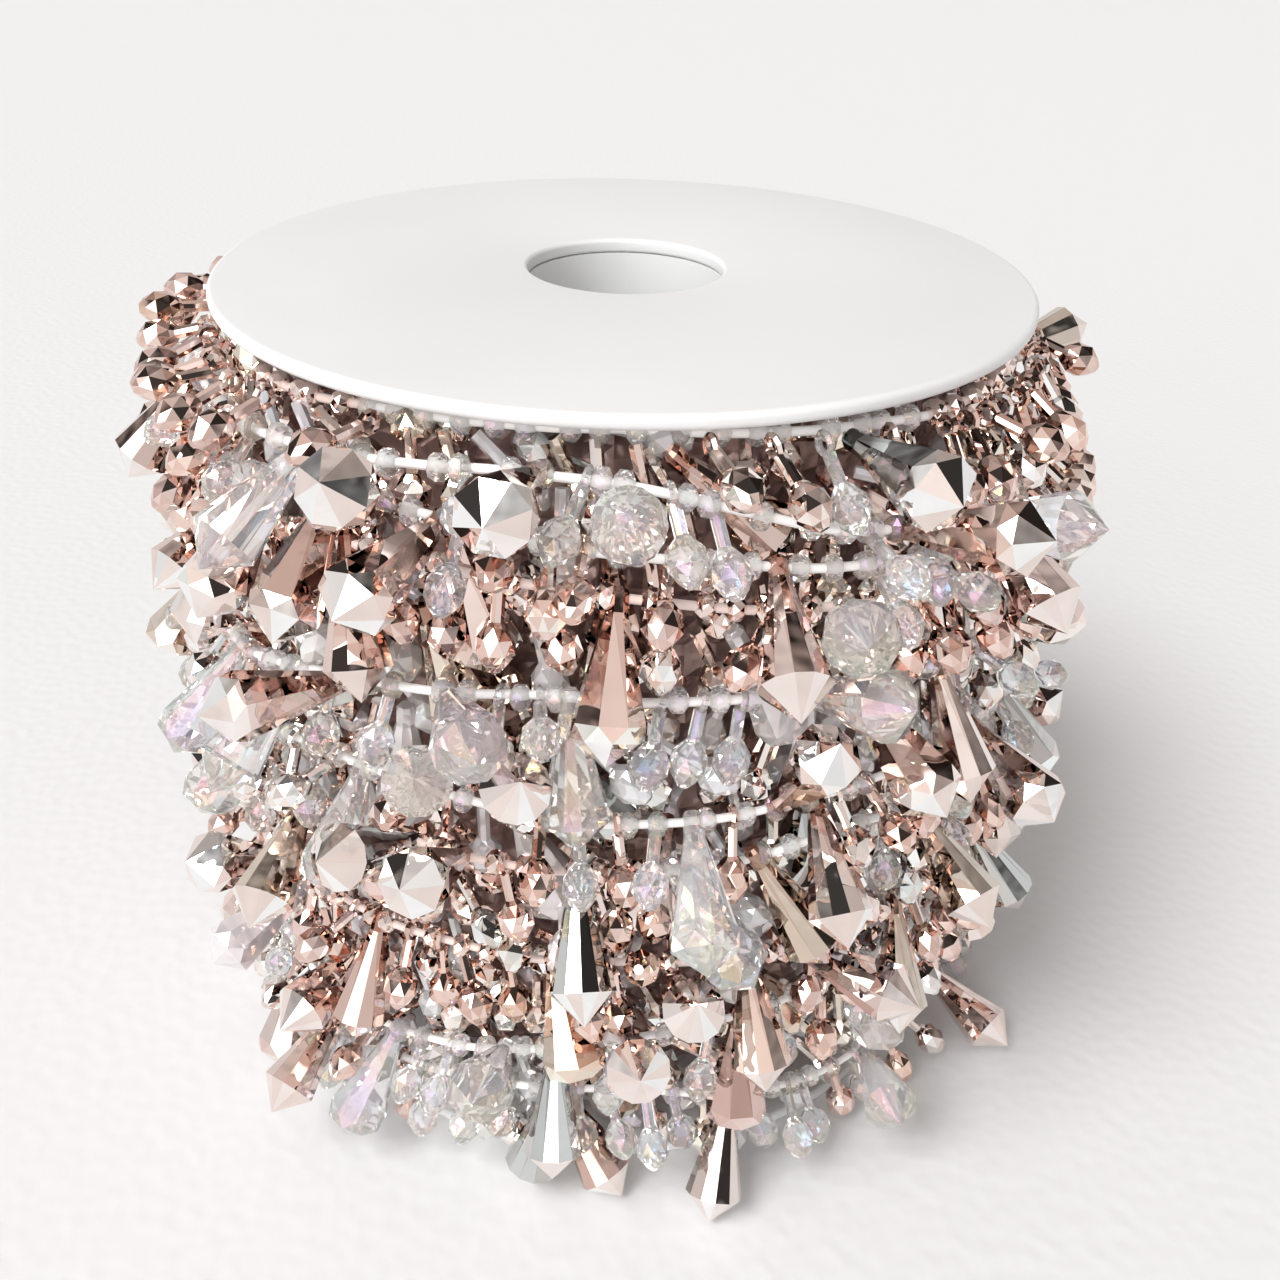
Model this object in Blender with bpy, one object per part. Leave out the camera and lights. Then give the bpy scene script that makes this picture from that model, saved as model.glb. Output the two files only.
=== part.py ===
"""Bead garland wound on a flanged plastic spool, standing on its lower flange.

The origin is on the spool's axis, at the face that it stands on, with +Z up.
Angles go round the axis from the front, which faces -Y, towards +X.
"""

import math
import random

import bmesh
import bpy
import numpy as np
from mathutils import Vector, noise

# Spool, in metres
SPOOL_HEIGHT = 0.0935
FLANGE_RADIUS = 0.0440
FLANGE_THICKNESS = 0.0015
FLANGE_EDGE = 0.0004
BORE_RADIUS = 0.0107
BARREL_WALL = 0.0015
CLEARANCE = 0.0003
FLANGE_SIDES = 64
BARREL_SIDES = 48

# Wound bed under the outer strand: height and radius of its outline
BED_OUTLINE = (
    (0.0018, 0.0400),
    (0.0060, 0.0430),
    (0.0140, 0.0443),
    (0.0300, 0.0450),
    (0.0500, 0.0452),
    (0.0700, 0.0448),
    (0.0800, 0.0440),
    (0.0870, 0.0428),
    (0.0917, 0.0400),
)
BED_SIDES = 72
BED_LEVELS = 44
BED_RISE = 0.0005
BED_RIDGE_WIDTH = 0.0026
BED_VALLEY_DEPTH = 0.0032
BED_DENT_DEPTH = 0.0042
BED_LUMP_SIZE = 0.0080
RIDGE_DENT_SHARE = 0.4

# Outer strand: height of each turn where it passes these angles, top turn first
CROSSING_ANGLES = (-60, -30, 0, 30, 60)
TURN_HEIGHTS = (
    (0.0884, 0.0898, 0.0906, 0.0896, 0.0882),
    (0.0858, 0.0872, 0.0880, 0.0820, 0.0798),
    (0.0805, 0.0838, 0.0823, 0.0788, 0.0765),
    (0.0755, 0.0795, 0.0783, 0.0750, 0.0720),
    (0.0600, 0.0655, 0.0682, 0.0665, 0.0640),
    (0.0520, 0.0555, 0.0542, 0.0545, 0.0530),
    (0.0440, 0.0475, 0.0483, 0.0490, 0.0455),
    (0.0340, 0.0350, 0.0360, 0.0345, 0.0330),
    (0.0150, 0.0172, 0.0236, 0.0270, 0.0260),
    (0.0080, 0.0120, 0.0157, 0.0100, 0.0070),
)
START_HEIGHT = 0.0904
END_HEIGHT = 0.0060
STRAND_LIFT = 0.0024
STRAND_WIDTH = 0.0018
STRAND_DEPTH = 0.0014
ROOT_LENGTH = 0.0018
STRAND_BENDS = 26

# Drops: length from the strand, place and corner radius of the widest ring
LARGE_LENGTH = 0.0144
SMALL_LENGTH = 0.0082
LARGE_RING = (0.78, 0.0032)
SMALL_RING = (0.76, 0.0019)
DROPS_PER_TURN = 30
REACH = 0.0590
MASS_REACH = 0.0568
TOP_REACH = 0.0490
TAPER_FROM = 0.0600
SHOWN_REACH = 0.0605
DROP_GAP = 0.0002
BED_GAP = 0.0008
LAYOUT_SEED = 7
TRIES = 60
NUDGE = 14.0

# Space that a drop keeps to itself, as balls: place along its length and radius
LARGE_BALLS = (
    (0.20, 0.0015),
    (0.35, 0.0020),
    (0.50, 0.0024),
    (0.64, 0.0028),
    (0.78, 0.0032),
    (0.88, 0.0018),
    (0.97, 0.0006),
)
SMALL_BALLS = ((0.32, 0.0014), (0.55, 0.0017), (0.76, 0.0019), (0.92, 0.0008))

# Turn and angle of the drops whose tips come out to REACH, one on each side
REACHING_DROPS = ((8, 4), (7, 90), (8, -90), (5, 180))

# Large drops on the shown side, the most seen first: turn, angle, tilt out from straight down, lean to the right
SHOWN_DROPS = (
    (2, -24, 125, 9),
    (2, 3, 138, -5),
    (3, 1, 30, -3),
    (2, 18, 58, -9),
    (5, 10, 56, -2),
    (8, 10, 149, 0),
    (6, -3, 47, 7),
    (6, -17, 118, 1),
    (5, -12, 142, 20),
    (4, -18, 84, 34),
    (2, -18, 79, -10),
    (1, -8, 98, -2),
    (1, 33, 105, 19),
    (1, 43, 105, 5),
    (1, 106, 102, 3),
    (3, 26, 109, -25),
    (5, 25, 48, -6),
    (5, 20, 150, 7),
    (8, -13, 117, 8),
    (9, 43, 107, -43),
    (7, 25, 93, 28),
    (9, 66, 67, -24),
    (8, -41, 65, 10),
    (1, -70, 27, -8),
    (2, -32, 38, 3),
    (4, 29, 55, 11),
    (6, 42, 59, -5),
    (5, 54, 79, -27),
    (0, 28, 92, 0),
    (1, -36, 52, -7),
    (2, -42, 45, 4),
    (4, -4, 32, -8),
    (4, 22, 115, 13),
    (2, 110, 54, -10),
    (1, 50, 54, -14),
    (4, -40, 55, 3),
    (4, -30, 92, -29),
    (5, -21, 135, 20),
    (6, -42, 62, 24),
    (6, -24, 119, -4),
    (7, -48, 122, 4),
    (6, 8, 30, 29),
    (7, 18, 32, 1),
    (1, -98, 50, -38),
)


def smooth_value(knots, place):
    """Value at a place on the smooth curve through knots of place and value."""
    i = 0
    while i < len(knots) - 2 and place > knots[i + 1][0]:
        i += 1
    (x0, y0), (x1, y1) = knots[i], knots[i + 1]
    before = knots[max(i - 1, 0)]
    after = knots[min(i + 2, len(knots) - 1)]
    step = x1 - x0
    slope0 = step * (y1 - before[1]) / (x1 - before[0])
    slope1 = step * (after[1] - y0) / (after[0] - x0)
    u = (place - x0) / step
    rise = 3 * u**2 - 2 * u**3
    return y0 * (1 - rise) + y1 * rise + slope0 * (u**3 - 2 * u**2 + u) + slope1 * (u**3 - u**2)


def turn_knots():
    """Heights of the strand against turns made, where 0 is the top turn at the front."""
    knots = [(-0.5, START_HEIGHT)]
    for turn, heights in enumerate(TURN_HEIGHTS):
        for angle, height in zip(CROSSING_ANGLES, heights):
            knots.append((turn + angle / 360, height))
    knots.append((len(TURN_HEIGHTS) - 0.5, END_HEIGHT))
    return knots


TURN_KNOTS = turn_knots()


def strand_height(turn):
    return smooth_value(TURN_KNOTS, turn)


def strand_radius(turn):
    return smooth_value(BED_OUTLINE, strand_height(turn)) + STRAND_LIFT


def axes_at(turn):
    """Outward and rightward directions where the strand has made so many turns."""
    angle = 2 * math.pi * turn
    outward = Vector((math.sin(angle), -math.cos(angle), 0))
    rightward = Vector((math.cos(angle), math.sin(angle), 0))
    return outward, rightward


def strand_point(turn):
    point = axes_at(turn)[0] * strand_radius(turn)
    point.z = strand_height(turn)
    return point


def drop_direction(turn, tilt, lean):
    """Unit vector along a drop, from its tilt out from straight down and its lean to the right."""
    outward, rightward = axes_at(turn)
    tilt, lean = math.radians(tilt), math.radians(lean)
    hanging = outward * math.sin(tilt) - Vector((0, 0, 1)) * math.cos(tilt)
    return hanging * math.cos(lean) + rightward * math.sin(lean)


def reaching_tilt(turn):
    """Tilt above level at which a large drop's tip comes to REACH along the nearest axis."""
    outward = axes_at(turn)[0]
    radius = REACH / max(abs(outward.x), abs(outward.y))
    return 180 - math.degrees(math.asin((radius - strand_radius(turn)) / LARGE_LENGTH))


def drop_length(drop):
    return LARGE_LENGTH if drop["large"] else SMALL_LENGTH


def mass_reach(turn):
    """How far out the tips come beside this place on the strand: less towards the top."""
    share = max(strand_height(turn) - TAPER_FROM, 0) / (SPOOL_HEIGHT - TAPER_FROM)
    return MASS_REACH + (TOP_REACH - MASS_REACH) * share


class Room:
    """Balls of space taken by the strand and by the drops placed so far."""

    def __init__(self):
        spacing = 0.01
        turns = np.arange(-0.5, len(TURN_HEIGHTS) - 0.5 + spacing / 2, spacing)
        self.centres = [tuple(strand_point(turn)) for turn in turns]
        self.radii = [STRAND_WIDTH / 2] * len(turns)

    def balls_of(self, drop):
        balls = LARGE_BALLS if drop["large"] else SMALL_BALLS
        length = drop_length(drop)
        root = strand_point(drop["turn"])
        return [(root + drop["direction"] * length * place, radius) for place, radius in balls]

    def is_clear(self, drop):
        centres, radii = np.array(self.centres), np.array(self.radii)
        tip = strand_point(drop["turn"]) + drop["direction"] * drop_length(drop)
        if max(abs(tip.x), abs(tip.y)) > REACH - CLEARANCE:
            return False
        if math.hypot(tip.x, tip.y) > drop["reach"]:
            return False
        if not CLEARANCE < tip.z < SPOOL_HEIGHT - CLEARANCE:
            return False
        for centre, radius in self.balls_of(drop):
            out = math.hypot(centre.x, centre.y)
            if not radius + CLEARANCE < centre.z < SPOOL_HEIGHT - radius - CLEARANCE:
                return False
            bed = smooth_value(BED_OUTLINE, min(max(centre.z, BED_OUTLINE[0][0]), BED_OUTLINE[-1][0]))
            if out - radius < bed + BED_RISE + BED_GAP:
                return False
            beside_flange = FLANGE_THICKNESS + CLEARANCE + radius
            near_end = not beside_flange < centre.z < SPOOL_HEIGHT - beside_flange
            if near_end and out - radius < FLANGE_RADIUS + CLEARANCE:
                return False
            apart = np.linalg.norm(centres - np.array(centre), axis=1) - radii - radius
            if apart.min() < DROP_GAP:
                return False
        return True

    def take(self, drop):
        for centre, radius in self.balls_of(drop):
            self.centres.append(tuple(centre))
            self.radii.append(radius)


def drawn_direction(rng, turn, large, attempt):
    """A hanging direction in the first tries, and any outward one after them."""
    if attempt < TRIES / 3:
        tilt = rng.uniform(8, 46) if large else rng.uniform(12, 50)
    else:
        tilt = rng.uniform(30, 135)
    return drop_direction(turn, tilt, rng.gauss(0, 15))


def nudged_direction(rng, turn, tilt, lean, attempt):
    """A drop's own direction in the first try, and one ever further from it in the next ones."""
    spread = NUDGE * attempt / TRIES
    return drop_direction(turn, tilt + rng.gauss(0, spread), lean + rng.gauss(0, spread))


def add_first_clear(room, drops, turn, large, reach, directions):
    """Adds a drop along the first of these directions that has room for it."""
    for direction in directions:
        drop = {"turn": turn, "large": large, "direction": direction, "reach": reach}
        if room.is_clear(drop):
            room.take(drop)
            drops.append(drop)
            return


def layout():
    """All drops in order along the strand: those set by hand, then large ones, then small ones."""
    rng = random.Random(LAYOUT_SEED)
    room = Room()
    drops = []
    for turn, angle in REACHING_DROPS:
        place = turn + angle / 360
        direction = drop_direction(place, reaching_tilt(place), 0)
        drops.append({"turn": place, "large": True, "direction": direction})
        room.take(drops[-1])
    for turn, angle, tilt, lean in SHOWN_DROPS:
        place = turn + angle / 360
        tried = (nudged_direction(rng, place, tilt, lean, attempt) for attempt in range(TRIES))
        add_first_clear(room, drops, place, True, SHOWN_REACH, tried)
    spacing = 1 / DROPS_PER_TURN
    places = [-0.5 + spacing * (i + 0.5) for i in range(DROPS_PER_TURN * len(TURN_HEIGHTS))]
    for large, stations in ((True, places[::2]), (False, places)):
        for place in stations:
            if min(abs(place - drop["turn"]) for drop in drops) < spacing * 0.55:
                continue
            tried = (drawn_direction(rng, place, large, attempt) for attempt in range(TRIES))
            add_first_clear(room, drops, place, large, mass_reach(place), tried)
    return sorted(drops, key=lambda drop: drop["turn"])


def material(name, colour, roughness, metallic=0.0):
    made = bpy.data.materials.new(name)
    made.use_nodes = True
    shader = made.node_tree.nodes["Principled BSDF"]
    shader.inputs["Base Color"].default_value = (*colour, 1.0)
    shader.inputs["Roughness"].default_value = roughness
    shader.inputs["Metallic"].default_value = metallic
    return made


def make_object(name, bm, finish, smooth=True):
    """An object from a closed bmesh, with its faces turned outwards."""
    bmesh.ops.recalc_face_normals(bm, faces=bm.faces)
    mesh = bpy.data.meshes.new(name)
    bm.to_mesh(mesh)
    bm.free()
    mesh.materials.append(finish)
    if smooth:
        mesh.shade_smooth()
        mesh.set_sharp_from_angle(angle=math.radians(30))
    obj = bpy.data.objects.new(name, mesh)
    bpy.context.scene.collection.objects.link(obj)
    return obj


def turned_ring(bm, outline, sides):
    """A ring turned about the Z axis from a closed outline of radius and height."""
    rings = []
    for i in range(sides):
        outward = axes_at(i / sides)[0]
        rings.append([bm.verts.new(outward * radius + Vector((0, 0, z))) for radius, z in outline])
    count = len(outline)
    for i in range(sides):
        here, there = rings[i], rings[(i + 1) % sides]
        for j in range(count):
            k = (j + 1) % count
            bm.faces.new((here[j], there[j], there[k], here[k]))


def make_flange(name, base, finish):
    """A flat disc with a bore and slightly broken edges, standing on the height base."""
    top = base + FLANGE_THICKNESS
    edge = FLANGE_EDGE
    outline = (
        (BORE_RADIUS, base),
        (FLANGE_RADIUS - edge, base),
        (FLANGE_RADIUS, base + edge),
        (FLANGE_RADIUS, top - edge),
        (FLANGE_RADIUS - edge, top),
        (BORE_RADIUS + edge, top),
        (BORE_RADIUS, top - edge),
    )
    bm = bmesh.new()
    turned_ring(bm, outline, FLANGE_SIDES)
    return make_object(name, bm, finish)


def make_barrel(finish):
    base = FLANGE_THICKNESS + CLEARANCE
    top = SPOOL_HEIGHT - base
    outer = BORE_RADIUS + BARREL_WALL
    outline = ((BORE_RADIUS, base), (outer, base), (outer, top), (BORE_RADIUS, top))
    bm = bmesh.new()
    turned_ring(bm, outline, BARREL_SIDES)
    return make_object("barrel", bm, finish)


def bed_radius(fraction, height):
    """Radius of the wound bed: a ridge under each turn of the strand, and lumpy as heaped beads are."""
    radius = smooth_value(BED_OUTLINE, height)
    turns = [fraction + turn for turn in range(len(TURN_HEIGHTS))]
    nearest = min(abs(height - strand_height(turn)) for turn in turns)
    valley = 1 - math.exp(-((nearest / BED_RIDGE_WIDTH) ** 2))
    point = axes_at(fraction)[0] * radius + Vector((0, 0, height))
    lump = min(noise.voronoi(point / BED_LUMP_SIZE)[0][0], 1)
    dent = BED_DENT_DEPTH * (RIDGE_DENT_SHARE + (1 - RIDGE_DENT_SHARE) * valley)
    return radius + BED_RISE - BED_VALLEY_DEPTH * valley - dent * lump


def make_wound_bed(finish):
    """The winding as one solid round the barrel, from flange to flange."""
    low = BED_OUTLINE[0][0]
    high = BED_OUTLINE[-1][0]
    inner = BORE_RADIUS + BARREL_WALL + CLEARANCE
    bm = bmesh.new()
    rings = []
    for i in range(BED_SIDES):
        fraction = i / BED_SIDES - 0.5
        outward = axes_at(fraction)[0]
        ring = [bm.verts.new(outward * inner + Vector((0, 0, low)))]
        for level in range(BED_LEVELS + 1):
            height = low + (high - low) * level / BED_LEVELS
            radius = bed_radius(fraction, height)
            ring.append(bm.verts.new(outward * radius + Vector((0, 0, height))))
        ring.append(bm.verts.new(outward * inner + Vector((0, 0, high))))
        rings.append(ring)
    count = len(rings[0])
    for i in range(BED_SIDES):
        here, there = rings[i], rings[(i + 1) % BED_SIDES]
        for j in range(count):
            k = (j + 1) % count
            bm.faces.new((here[j], there[j], there[k], here[k]))
    return make_object("wound_bed", bm, finish, smooth=False)


def strand_section(bm, turn):
    """Three points across the strand: its upper and lower outer edges and its inner ridge."""
    point = strand_point(turn)
    outward = axes_at(turn)[0]
    half = Vector((0, 0, STRAND_WIDTH / 2))
    places = (point + half, point - half, point - outward * STRAND_DEPTH)
    return [bm.verts.new(place) for place in places]


def add_drop(bm, corners, drop):
    """A drop of four sides that widens from the root's corners to its ring and ends in a tip."""
    length = drop_length(drop)
    place, radius = LARGE_RING if drop["large"] else SMALL_RING
    along = drop["direction"]
    root = strand_point(drop["turn"])
    sideways = axes_at(drop["turn"])[1]
    across = (sideways - along * sideways.dot(along)).normalized()
    up = along.cross(across)
    centre = root + along * length * place
    reach = radius / math.sqrt(2)
    offsets = ((-1, 1), (-1, -1), (1, -1), (1, 1))
    ring = [bm.verts.new(centre + (across * side + up * rise) * reach) for side, rise in offsets]
    tip = bm.verts.new(root + along * length)
    for i in range(4):
        j = (i + 1) % 4
        bm.faces.new((corners[i], corners[j], ring[j], ring[i]))
        bm.faces.new((ring[i], ring[j], tip))


def join_sections(bm, first, second):
    for i in range(3):
        j = (i + 1) % 3
        bm.faces.new((first[i], first[j], second[j], second[i]))


def strand_between(bm, last, start, end):
    """The strip between two drops, bent often enough to follow the bed. It gives its last section."""
    pieces = math.ceil((end - start) * STRAND_BENDS)
    for i in range(1, pieces + 1):
        section = strand_section(bm, start + (end - start) * i / pieces)
        join_sections(bm, last, section)
        last = section
    return last


def make_outer_strand(finish):
    """The outer turns of the garland: a narrow strip round the bed that its drops grow out of."""
    bm = bmesh.new()
    half = ROOT_LENGTH / 2 / (2 * math.pi * FLANGE_RADIUS)
    place = -0.5
    last = strand_section(bm, place)
    bm.faces.new(last)
    for drop in layout():
        before = strand_between(bm, last, place, drop["turn"] - half)
        place = drop["turn"] + half
        last = strand_section(bm, place)
        bm.faces.new((before[1], before[2], last[2], last[1]))
        bm.faces.new((before[2], before[0], last[0], last[2]))
        add_drop(bm, (before[0], before[1], last[1], last[0]), drop)
    last = strand_between(bm, last, place, len(TURN_HEIGHTS) - 0.5)
    bm.faces.new(last)
    return make_object("outer_strand", bm, finish, smooth=False)


def main():
    for obj in list(bpy.data.objects):
        bpy.data.objects.remove(obj, do_unlink=True)
    plastic = material("white_plastic", (0.86, 0.86, 0.84), 0.35)
    plated = material("rose_gold_plating", (0.80, 0.55, 0.47), 0.15, metallic=1.0)
    wound = material("wound_beads", (0.52, 0.38, 0.36), 0.30, metallic=0.6)
    make_flange("bottom_flange", 0.0, plastic)
    make_flange("top_flange", SPOOL_HEIGHT - FLANGE_THICKNESS, plastic)
    make_barrel(plastic)
    make_wound_bed(wound)
    make_outer_strand(plated)


main()
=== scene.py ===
"""Bead garland wound on a white plastic spool: the dressed model with its floor, lights and camera.

Everything is in metres in the part's frame: the origin is on the spool's axis at the face that it
stands on, +Z is up, and angles go round the axis from the front, which faces -Y, towards +X.
"""

import math
import random

import bmesh
import bpy
import numpy as np
from mathutils import Matrix, Vector, noise


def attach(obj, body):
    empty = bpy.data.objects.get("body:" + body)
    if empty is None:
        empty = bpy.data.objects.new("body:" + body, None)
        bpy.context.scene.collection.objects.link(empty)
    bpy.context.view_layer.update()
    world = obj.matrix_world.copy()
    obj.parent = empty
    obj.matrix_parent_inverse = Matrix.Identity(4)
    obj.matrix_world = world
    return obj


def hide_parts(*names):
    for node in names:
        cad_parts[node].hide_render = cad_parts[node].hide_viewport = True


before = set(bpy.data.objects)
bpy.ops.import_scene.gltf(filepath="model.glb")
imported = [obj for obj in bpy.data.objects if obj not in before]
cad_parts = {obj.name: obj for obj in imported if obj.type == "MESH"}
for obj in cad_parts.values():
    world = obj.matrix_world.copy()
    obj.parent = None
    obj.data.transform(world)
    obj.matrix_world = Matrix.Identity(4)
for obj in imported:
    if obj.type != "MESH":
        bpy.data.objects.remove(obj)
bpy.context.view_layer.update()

# Spool, in metres
SPOOL_HEIGHT = 0.0935
FLANGE_RADIUS = 0.0440
FLANGE_THICKNESS = 0.0015
BORE_RADIUS = 0.0107
BARREL_WALL = 0.0015
CLEARANCE = 0.0003

# Wound bed under the outer strand: height and radius of its outline
BED_OUTLINE = (
    (0.0018, 0.0400),
    (0.0060, 0.0430),
    (0.0140, 0.0443),
    (0.0300, 0.0450),
    (0.0500, 0.0452),
    (0.0700, 0.0448),
    (0.0800, 0.0440),
    (0.0870, 0.0428),
    (0.0917, 0.0400),
)
BED_RISE = 0.0005

# Outer strand: height of each turn where it passes these angles, top turn first
CROSSING_ANGLES = (-60, -30, 0, 30, 60)
TURN_HEIGHTS = (
    (0.0884, 0.0898, 0.0906, 0.0896, 0.0882),
    (0.0858, 0.0872, 0.0880, 0.0820, 0.0798),
    (0.0805, 0.0838, 0.0823, 0.0788, 0.0765),
    (0.0755, 0.0795, 0.0783, 0.0750, 0.0720),
    (0.0600, 0.0655, 0.0682, 0.0665, 0.0640),
    (0.0520, 0.0555, 0.0542, 0.0545, 0.0530),
    (0.0440, 0.0475, 0.0483, 0.0490, 0.0455),
    (0.0340, 0.0350, 0.0360, 0.0345, 0.0330),
    (0.0150, 0.0172, 0.0236, 0.0270, 0.0260),
    (0.0080, 0.0120, 0.0157, 0.0100, 0.0070),
)
START_HEIGHT = 0.0904
END_HEIGHT = 0.0060
STRAND_LIFT = 0.0024
STRAND_WIDTH = 0.0018

# Drops: length from the strand, place and corner radius of the widest ring
LARGE_LENGTH = 0.0144
SMALL_LENGTH = 0.0082
DROPS_PER_TURN = 30
REACH = 0.0590
MASS_REACH = 0.0568
TOP_REACH = 0.0490
TAPER_FROM = 0.0600
SHOWN_REACH = 0.0605
DROP_GAP = 0.0002
BED_GAP = 0.0008
LAYOUT_SEED = 7
TRIES = 60
NUDGE = 14.0

# Space that a drop keeps to itself, as balls: place along its length and radius
LARGE_BALLS = (
    (0.20, 0.0015),
    (0.35, 0.0020),
    (0.50, 0.0024),
    (0.64, 0.0028),
    (0.78, 0.0032),
    (0.88, 0.0018),
    (0.97, 0.0006),
)
SMALL_BALLS = ((0.32, 0.0014), (0.55, 0.0017), (0.76, 0.0019), (0.92, 0.0008))

# Turn and angle of the drops whose tips come out to REACH, one on each side
REACHING_DROPS = ((8, 4), (7, 90), (8, -90), (5, 180))

# Large drops on the shown side, the most seen first: turn, angle, tilt out from straight down,
# lean to the right, finish
SHOWN_DROPS = (
    (2, -24, 125, 9, "rose"),
    (2, 3, 138, -5, "bulb"),
    (3, 1, 30, -3, "rose"),
    (2, 18, 58, -9, "rose"),
    (5, 10, 56, -2, "clear"),
    (8, 10, 149, 0, "dark"),
    (6, -3, 47, 7, "dark"),
    (6, -17, 118, 1, "rose"),
    (5, -12, 142, 20, "rose"),
    (4, -18, 84, 34, "lilac"),
    (2, -18, 79, -10, "rose"),
    (1, -8, 98, -2, "rose"),
    (1, 33, 105, 19, "rose"),
    (1, 43, 105, 5, "clear"),
    (1, 106, 102, 3, "brass"),
    (3, 26, 109, -25, "clear"),
    (5, 25, 48, -6, "pale"),
    (5, 20, 150, 7, "rose"),
    (8, -13, 117, 8, "clear"),
    (9, 43, 107, -43, "clear"),
    (7, 25, 93, 28, "rose"),
    (9, 66, 67, -24, "rose"),
    (8, -41, 65, 10, "rose"),
    (1, -70, 27, -8, "rose"),
    (2, -32, 38, 3, "rose"),
    (4, 29, 55, 11, "rose"),
    (6, 42, 59, -5, "brass"),
    (5, 54, 79, -27, "rose"),
    (0, 28, 92, 0, "dark"),
    (1, -36, 52, -7, "clear"),
    (2, -42, 45, 4, "pale"),
    (4, -4, 32, -8, "clear"),
    (4, 22, 115, 13, "clear"),
    (2, 110, 54, -10, "rose"),
    (1, 50, 54, -14, "rose"),
    (4, -40, 55, 3, "clear"),
    (4, -30, 92, -29, "rose"),
    (5, -21, 135, 20, "clear"),
    (6, -42, 62, 24, "brass"),
    (6, -24, 119, -4, "dark"),
    (7, -48, 122, 4, "rose"),
    (6, 8, 30, 29, "clear"),
    (7, 18, 32, 1, "rose"),
    (1, -98, 50, -38, "rose"),
)

# Finishes, as the colours that the beads and the line take
TINTS = {
    "rose": (0.96, 0.80, 0.74),
    "copper": (0.87, 0.65, 0.58),
    "pale": (0.97, 0.89, 0.85),
    "dark": (0.84, 0.82, 0.79),
    "brass": (0.90, 0.80, 0.69),
    "clear": (1.0, 1.0, 1.0),
    "bulb": (1.0, 1.0, 1.0),
    "blue": (0.95, 0.98, 1.0),
    "lilac": (1.0, 0.96, 1.0),
}
CLEAR_FINISHES = ("clear", "bulb", "blue", "lilac")
LINE_TINTS = {"clear": (0.97, 0.96, 0.95), "rose": (0.78, 0.60, 0.54)}

# Painted shade on a plated drop from its neck to its girdle, deepest on dark drops, painted
# highlight that pales its tip, and spread of tint between its facets
NECK_SHADE = (0.52, 0.37, 0.33)
DARK_NECK_SHADE = (0.22, 0.24, 0.24)
NO_SHADE = (1, 1, 1)
TIP_PAINTED_HIGHLIGHT = (0.99, 0.93, 0.90)
GIRDLE_PLACE = 0.78
FACET_SPREAD = (0.11, 0.18, 0.21)
FACET_MIX = (37.1, 61.7, 23.9)

# Stretches of the strand, in turns, whose small drops are nearly all of one kind
ROSE_STRETCHES = ((-0.5, -0.09), (0.12, 0.5), (2.5, 3.5), (5.9, 6.02), (6.5, 7.5))
CLEAR_STRETCHES = ((0.92, 1.08), (3.9, 4.12), (8.9, 9.12))

# Beads and line along the strand, which runs deeper in its first turn, under the top flange
FIRST_TURN = -0.5
LAST_TURN = len(TURN_HEIGHTS) - 0.5
BEAD_PITCH = 0.0036
OUTER_TRIES = 14
OUTER_DEPTH = -0.0004
CLEAR_SHARE = 0.38
LINE_RADIUS = 0.00043
LINE_WOBBLE = 0.0004
TOP_TURN_DEPTH = 0.0032
TOP_TURN_END = 0.62
SPACE_CUBE = 0.0066
SPACE_STEP = 0.004

# Deep layers: depth of their face under the bed's outline, and its lumps
CORE_DEPTH = 0.0068
CORE_LUMP = 0.0018
CORE_DIP = 0.0008
CORE_LUMP_RATE = 260

# Layers between the turns: share of the way down to the next turn, lift off the bed's outline
# and share of clear drops
INNER_LAYERS = ((0.5, -0.0008, 0.35), (0.15, -0.0030, 0.30))
INNER_TRIES = 16
INNER_OVERLAP = 0.0004

# Beads of the deeper layers, which lie any way
FILLER_HEIGHTS = (0.004, 0.0895)
FILLER_LIFTS = (-0.0055, -0.0010)
FILLER_RISE = (-0.25, 0.5)
FILLER_CLEAR_SHARE = 0.3
FILLER_OVERLAP = 0.0007
FILLER_TRIES = 14000
SCENE_SEED = 11

# Floor and window light: name, side that the light comes from, power and spread in degrees
FLOOR_DROP = 0.0001
FLOOR_COLOUR = (0.80, 0.805, 0.81, 1)
LIGHTS = (
    ("key", (-0.52, -0.46, 0.92), 2.05, 27),
    ("front", (-0.42, -0.88, 0.40), 1.25, 50),
)

# Room around the object: plain and pale up to its horizon, then lighter and darker patches on
# a ground that goes from one colour in front to another behind
HORIZON_COLOUR = (0.78, 0.77, 0.765, 1)
HORIZON_RISE = (0.24, 0.40)
BACK_SIDE = (0.55, 0.83, 0)
FRONT_COLOUR = (0.66, 0.65, 0.64, 1)
BACK_COLOUR = (0.15, 0.105, 0.085, 1)
PATCH_SCALE = 3.4
PATCH_EDGE = (0.42, 0.58)
PATCH_STRENGTHS = (0.1, 1.9)

# Camera: focal length in pixels of a 1280 pixel frame, place, degrees down and degrees of roll
CAMERA_FOCUS = 1250
CAMERA_PLACE = (0.0028, -0.1379, 0.1309)
CAMERA_DOWN = 31.88
CAMERA_ROLL = 1.73


def smooth_value(knots, place):
    """Value at a place on the smooth curve through knots of place and value."""
    i = 0
    while i < len(knots) - 2 and place > knots[i + 1][0]:
        i += 1
    (x0, y0), (x1, y1) = knots[i], knots[i + 1]
    before = knots[max(i - 1, 0)]
    after = knots[min(i + 2, len(knots) - 1)]
    step = x1 - x0
    slope0 = step * (y1 - before[1]) / (x1 - before[0])
    slope1 = step * (after[1] - y0) / (after[0] - x0)
    u = (place - x0) / step
    rise = 3 * u**2 - 2 * u**3
    return y0 * (1 - rise) + y1 * rise + slope0 * (u**3 - 2 * u**2 + u) + slope1 * (u**3 - u**2)


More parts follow.
